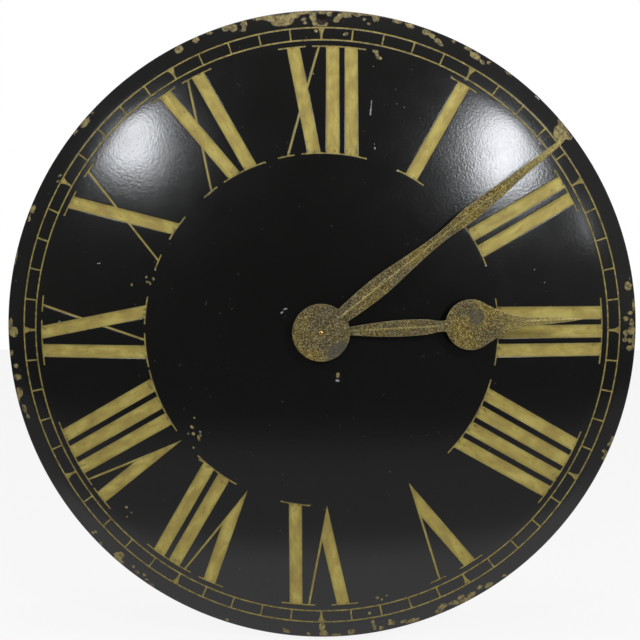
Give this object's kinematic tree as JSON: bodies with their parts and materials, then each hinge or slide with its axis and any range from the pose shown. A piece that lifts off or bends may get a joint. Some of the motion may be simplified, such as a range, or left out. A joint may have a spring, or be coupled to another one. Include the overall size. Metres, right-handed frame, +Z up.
{
  "type": "wall clock",
  "caption": "Round convex pressed-metal wall clock with recessed gilt Roman numerals, a railway minute track, two spade hands and a battery quartz movement behind the dial.",
  "frame": {"origin": "centre of the hanging hole near the top of the rim, in the middle of the sheet", "axes": "+Z up, -Y out of the dial towards the viewer, +Y towards the wall, +X to the viewer's right"},
  "size_m": [0.54, 0.0482, 0.54],
  "materials": {
    "enamel": "gloss",
    "gilding": "satin",
    "hand_bronze": "satin",
    "brass": "polished",
    "rubber": "matte",
    "case_plastic": "matte",
    "wheel_plastic": "satin",
    "board": "satin",
    "chip": "gloss",
    "steel": "satin",
    "magnet": "matte",
    "copper": "gloss",
    "cell_can": "satin"
  },
  "bodies": {
    "clock_body": {"dial_shell": "enamel", "numeral_inlay": "gilding", "track_inlay": "gilding", "rubber_washer": "rubber", "dial_washer": "brass", "dial_nut": "brass", "threaded_bush": "brass", "front_housing": "case_plastic", "gear_bridge": "case_plastic", "rear_cover": "case_plastic", "circuit_board": "board", "controller_chip": "chip", "quartz_crystal": "steel", "stator": "steel", "coil_core": "steel", "coil_bobbin": "case_plastic", "coil_winding": "copper", "negative_contact": "steel", "positive_contact": "steel"},
    "minute_set": {"minute_hand": "hand_bronze", "minute_collet": "brass", "minute_arbor": "brass", "clutch_spring": "brass"},
    "hour_set": {"hour_hand": "hand_bronze", "hour_collet": "brass", "hour_wheel": "wheel_plastic"},
    "motion_set": {"motion_wheel": "wheel_plastic"},
    "knob_set": {"setting_knob": "case_plastic"},
    "seconds_set": {"seconds_wheel": "wheel_plastic"},
    "third_set": {"third_wheel": "wheel_plastic"},
    "centre_set": {"centre_wheel": "wheel_plastic"},
    "intermediate_set": {"intermediate_wheel": "wheel_plastic"},
    "rotor_set": {"rotor": "magnet"},
    "cell": {"aa_cell": "cell_can"}
  },
  "joints": [
    {"name": "minute_turn", "type": "hinge", "parent": "clock_body", "child": "minute_set", "pos_m": [0, 0, -0.2608], "axis": [0, 1, 0], "continuous": true},
    {"name": "hour_turn", "type": "hinge", "parent": "clock_body", "child": "hour_set", "pos_m": [0, 0, -0.2608], "axis": [0, 1, 0], "continuous": true},
    {"name": "motion_turn", "type": "hinge", "parent": "clock_body", "child": "motion_set", "pos_m": [0.00624, 0, -0.2644], "axis": [0, 1, 0], "continuous": true},
    {"name": "knob_turn", "type": "hinge", "parent": "clock_body", "child": "knob_set", "pos_m": [0.01247, 0, -0.2608], "axis": [0, 1, 0], "continuous": true},
    {"name": "seconds_turn", "type": "hinge", "parent": "clock_body", "child": "seconds_set", "pos_m": [-0.00203, 0, -0.25041], "axis": [0, 1, 0], "continuous": true},
    {"name": "third_turn", "type": "hinge", "parent": "clock_body", "child": "third_set", "pos_m": [-0.00509, 0, -0.25571], "axis": [0, 1, 0], "continuous": true},
    {"name": "centre_turn", "type": "hinge", "parent": "clock_body", "child": "centre_set", "pos_m": [0, 0, -0.2608], "axis": [0, 1, 0], "continuous": true},
    {"name": "intermediate_turn", "type": "hinge", "parent": "clock_body", "child": "intermediate_set", "pos_m": [0.00301, 0, -0.25041], "axis": [0, 1, 0], "continuous": true},
    {"name": "rotor_turn", "type": "hinge", "parent": "clock_body", "child": "rotor_set", "pos_m": [0.00675, 0, -0.24825], "axis": [0, 1, 0], "continuous": true},
    {"name": "cell_slide", "type": "slide", "parent": "clock_body", "child": "cell", "axis": [0, 1, 0], "range_m": [0, 0.018]}
  ],
  "couplings": [
    {"joint": "hour_turn", "follows": "minute_turn", "ratio": 0.083333},
    {"joint": "motion_turn", "follows": "minute_turn", "ratio": -0.33333},
    {"joint": "knob_turn", "follows": "minute_turn", "ratio": 1},
    {"joint": "intermediate_turn", "follows": "rotor_turn", "ratio": -0.2},
    {"joint": "seconds_turn", "follows": "rotor_turn", "ratio": 0.033333},
    {"joint": "third_turn", "follows": "rotor_turn", "ratio": -0.0044444},
    {"joint": "centre_turn", "follows": "rotor_turn", "ratio": 0.00055556}
  ]
}
